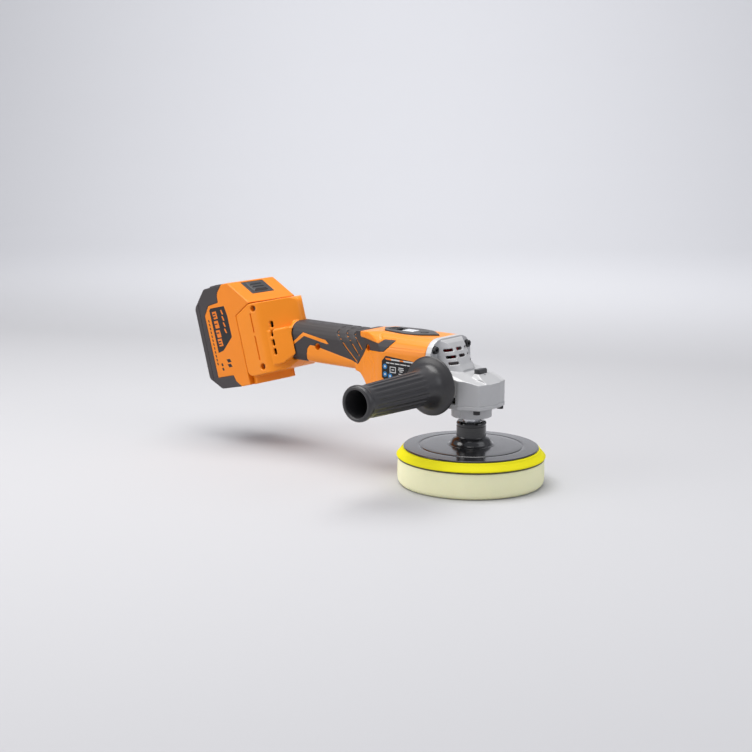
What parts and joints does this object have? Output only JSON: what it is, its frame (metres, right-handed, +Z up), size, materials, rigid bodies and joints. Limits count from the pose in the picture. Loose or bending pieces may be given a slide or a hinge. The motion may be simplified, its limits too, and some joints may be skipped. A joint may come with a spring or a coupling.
{
  "type": "rotary polisher",
  "caption": "Cordless angle-head rotary polisher with a foam pad on a backing plate, side handle, spindle lock, slide switch and slide-on battery pack.",
  "frame": {"origin": "centre of the foam pad's flat working face, on the spindle axis", "axes": "+Z up along the spindle from the pad into the gear head, +X forwards from the battery to the head, +Y to the tool's left, away from the fitted side handle"},
  "size_m": [0.4287, 0.234, 0.1789],
  "materials": {
    "orange": "satin",
    "overmould": "matte",
    "case_alloy": "satin cast",
    "black_screw": "black oxide",
    "zinc_screw": "zinc plated",
    "baffle_red": "matte",
    "bearing_steel": "polished",
    "bronze": "plain",
    "seal_rubber": "matte",
    "handle_black": "satin",
    "steel": "turned",
    "laminations": "stacked",
    "copper": "enamelled",
    "board_green": "matte",
    "panel_grey": "fine texture",
    "window_clear": "gloss",
    "switch_black": "satin",
    "lead_red": "satin",
    "lead_black": "satin",
    "label_film": "gloss",
    "gear_steel": "ground",
    "plate_black": "gloss",
    "cushion_yellow": "matte",
    "hook_dark": "hook pile",
    "loop_dark": "loop pile",
    "foam_cream": "open-cell foam",
    "magnet": "nickel",
    "fan_black": "satin",
    "pack_grey": "fine texture",
    "pack_orange": "satin",
    "cell_wrap": "shrink wrap",
    "holder_black": "matte",
    "contact_metal": "plated",
    "button_black": "satin"
  },
  "bodies": {
    "tool": {"housing_right": "orange", "housing_left": "orange", "grip_skin_right": "overmould", "grip_skin_left": "overmould", "housing_screws": "zinc_screw", "gear_case": "case_alloy", "gear_case_screws": "black_screw", "air_baffle": "baffle_red", "bearing_flange": "case_alloy", "flange_screws": "black_screw", "spindle_bearing": "bearing_steel", "needle_bush": "bronze", "spindle_seal": "seal_rubber", "side_handle": "handle_black", "handle_stud": "steel", "stator_core": "laminations", "stator_coils": "copper", "sensor_board": "board_green", "rotor_bearings": "bearing_steel", "control_panel": "panel_grey", "display_window": "window_clear", "panel_board": "board_green", "motor_controller": "board_green", "terminal_block": "holder_black", "battery_leads": "lead_red", "motor_leads": "lead_black", "rating_label": "label_film", "lock_spring": "steel"},
    "spindle_head": {"spindle": "steel", "ring_gear": "gear_steel", "gear_key": "steel", "spindle_race": "bearing_steel", "spindle_clip": "steel", "backing_plate": "plate_black", "hub_insert": "steel", "plate_cushion": "cushion_yellow", "hook_disc": "hook_dark", "pad_loop": "loop_dark", "foam_pad": "foam_cream"},
    "rotor": {"rotor_shaft": "steel", "rotor_core": "laminations", "rotor_magnets": "magnet", "cooling_fan": "fan_black", "pinion": "gear_steel", "rotor_races": "bearing_steel"},
    "spindle_lock": {"lock_button": "button_black", "lock_pin": "steel"},
    "switch": {"power_slide": "switch_black"},
    "speed_key": {"speed_button": "switch_black"},
    "battery": {"pack_base": "pack_grey", "pack_top": "pack_orange", "pack_end_cap": "pack_grey", "cells": "cell_wrap", "cell_holder": "holder_black", "pack_board": "board_green", "pack_contacts": "contact_metal", "pack_bumper": "pack_grey", "latch_spring": "steel"},
    "battery_latch": {"latch_button": "button_black"}
  },
  "joints": [
    {"name": "spindle_spin", "type": "hinge", "parent": "tool", "child": "spindle_head", "pos_m": [0, 0, 0.075], "axis": [0, 0, 1], "continuous": true},
    {"name": "rotor_spin", "type": "hinge", "parent": "tool", "child": "rotor", "pos_m": [-0.07, 0, 0.106], "axis": [1, 0, 0], "continuous": true},
    {"name": "spindle_lock_press", "type": "slide", "parent": "tool", "child": "spindle_lock", "axis": [0, 0, -1], "range_m": [0, 0.0028], "stiffness_N_per_m": 500, "springref_m": -0.002, "deforming": ["lock_spring"]},
    {"name": "power_slide_move", "type": "slide", "parent": "tool", "child": "switch", "axis": [1, 0, 0], "range_m": [0, 0.005]},
    {"name": "speed_button_press", "type": "slide", "parent": "tool", "child": "speed_key", "axis": [0, 0, -1], "range_m": [0, 0.0006], "stiffness_N_per_m": 800, "springref_m": -0.0005},
    {"name": "battery_slide", "type": "slide", "parent": "tool", "child": "battery", "axis": [-0.2756, 0, 0.9613], "range_m": [0, 0.13]},
    {"name": "battery_latch_press", "type": "slide", "parent": "battery", "child": "battery_latch", "axis": [-0.4848, 0, -0.8746], "range_m": [0, 0.003], "stiffness_N_per_m": 700, "springref_m": -0.002, "deforming": ["latch_spring"]}
  ],
  "couplings": [
    {"joint": "rotor_spin", "follows": "spindle_spin", "ratio": -4.5556}
  ]
}
